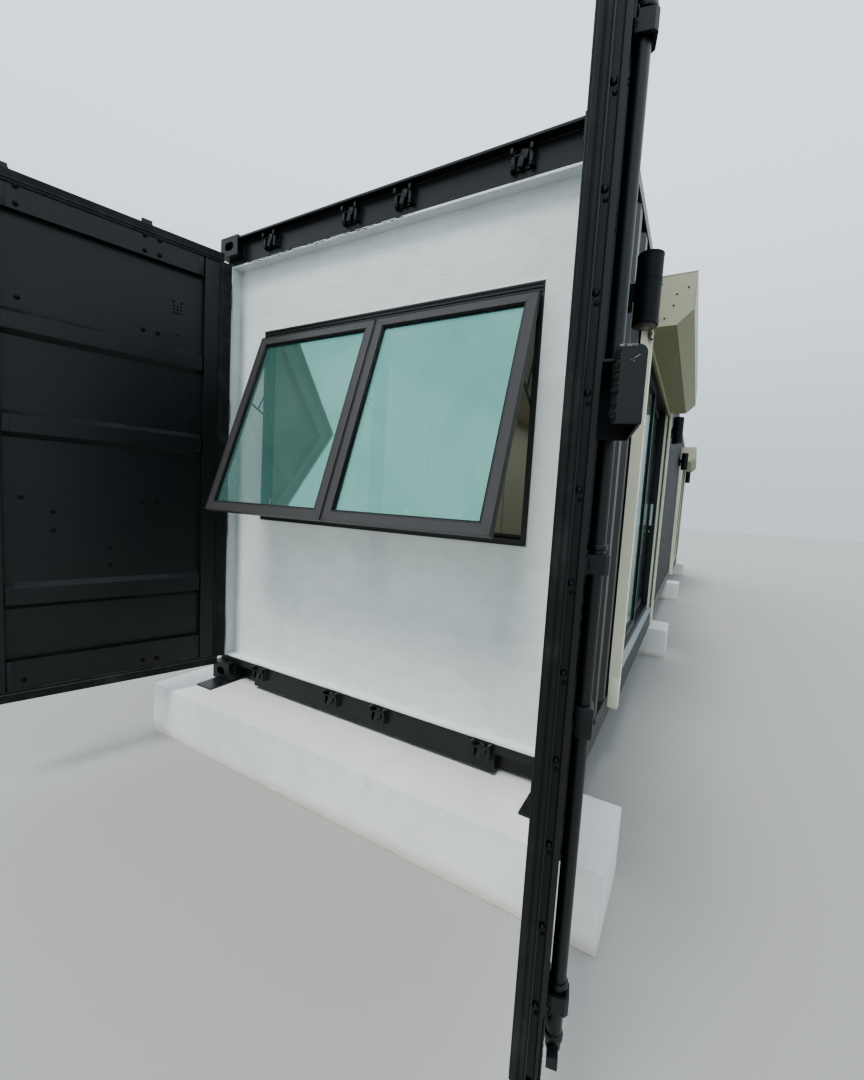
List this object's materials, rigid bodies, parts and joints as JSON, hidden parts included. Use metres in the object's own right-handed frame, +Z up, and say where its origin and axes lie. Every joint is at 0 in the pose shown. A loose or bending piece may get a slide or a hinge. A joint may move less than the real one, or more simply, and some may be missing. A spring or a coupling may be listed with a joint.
{
  "type": "shipping container cabin",
  "caption": "High-cube shipping container turned into a cabin: plastered end with a top-hung window, open cargo doors, shuttered sliding glass doors, raised on concrete beams.",
  "frame": {"origin": "on the ground under the middle of the cargo-door end, level with the corner castings' outer face", "axes": "+Z up, +Y back along the container from the cargo doors, +X to the right seen from the cargo doors"},
  "size_m": [3.035, 13.6991, 3.226],
  "materials": {
    "container_paint": "satin black",
    "beam_concrete": "rough painted concrete",
    "plaster": "fine white render",
    "bronze_aluminium": "dark bronze satin",
    "black_aluminium": "black powder coat",
    "teal_glass": "tinted, clear",
    "pull_steel": "brushed",
    "door_rubber": "matte",
    "cream_metal": "satin cream",
    "ledge_metal": "satin blue-grey",
    "lining_board": "matte painted board",
    "floor_timber": "varnished plywood",
    "light_metal": "satin black"
  },
  "bodies": {
    "cabin": {"back_header": "container_paint", "back_lining": "lining_board", "back_sill": "container_paint", "back_wall": "container_paint", "bearing_plates": "container_paint", "bottom_side_rails": "container_paint", "cam_keepers": "container_paint", "ceiling_lining": "lining_board", "corner_castings": "container_paint", "corner_posts": "container_paint", "door_header": "container_paint", "door_hinge_lugs": "container_paint", "door_ledges": "ledge_metal", "door_sill": "container_paint", "doorway_head_lining": "lining_board", "far_slider_frame": "black_aluminium", "fixed_glass": "teal_glass", "fixed_leaves": "black_aluminium", "floor_cross_members": "container_paint", "floor_deck": "floor_timber", "foundation_beams": "beam_concrete", "infill_wall": "plaster", "left_lining": "lining_board", "left_wall": "container_paint", "near_slider_frame": "black_aluminium", "right_lining": "lining_board", "right_wall_far": "container_paint", "right_wall_lintels": "container_paint", "right_wall_middle": "container_paint", "right_wall_near": "container_paint", "roof": "container_paint", "shutter_boxes": "cream_metal", "shutter_guides": "cream_metal", "top_side_rails": "container_paint", "wall_lights": "light_metal", "window_frame": "bronze_aluminium", "window_glass": "teal_glass", "window_sashes": "bronze_aluminium"},
    "left_cargo_door": {"left_door_frame": "container_paint", "left_door_panel": "container_paint", "left_door_gasket": "door_rubber", "left_door_hinges": "container_paint", "left_lock_rods": "container_paint", "left_rod_guides": "container_paint"},
    "right_cargo_door": {"right_door_frame": "container_paint", "right_door_panel": "container_paint", "right_door_gasket": "door_rubber", "right_door_hinges": "container_paint", "right_lock_rods": "container_paint", "right_rod_guides": "container_paint", "lock_box": "container_paint"},
    "near_sliding_door": {"near_sliding_leaf": "black_aluminium", "near_sliding_glass": "teal_glass", "near_door_pull": "pull_steel"},
    "far_sliding_door": {"far_sliding_leaf": "black_aluminium", "far_sliding_glass": "teal_glass", "far_door_pull": "pull_steel"}
  },
  "joints": [
    {"name": "left_cargo_door_hinge", "type": "hinge", "parent": "cabin", "child": "left_cargo_door", "pos_m": [-1.2, 0.02, 1.779], "axis": [0, 0, -1], "range_deg": [-45, 153]},
    {"name": "right_cargo_door_hinge", "type": "hinge", "parent": "cabin", "child": "right_cargo_door", "pos_m": [1.2, 0.02, 1.779], "axis": [0, 0, 1], "range_deg": [-40.5, 127]},
    {"name": "near_sliding_door_slide", "type": "slide", "parent": "cabin", "child": "near_sliding_door", "axis": [0, -1, 0], "range_m": [0, 1.095]},
    {"name": "far_sliding_door_slide", "type": "slide", "parent": "cabin", "child": "far_sliding_door", "axis": [0, -1, 0], "range_m": [0, 1.095]}
  ]
}
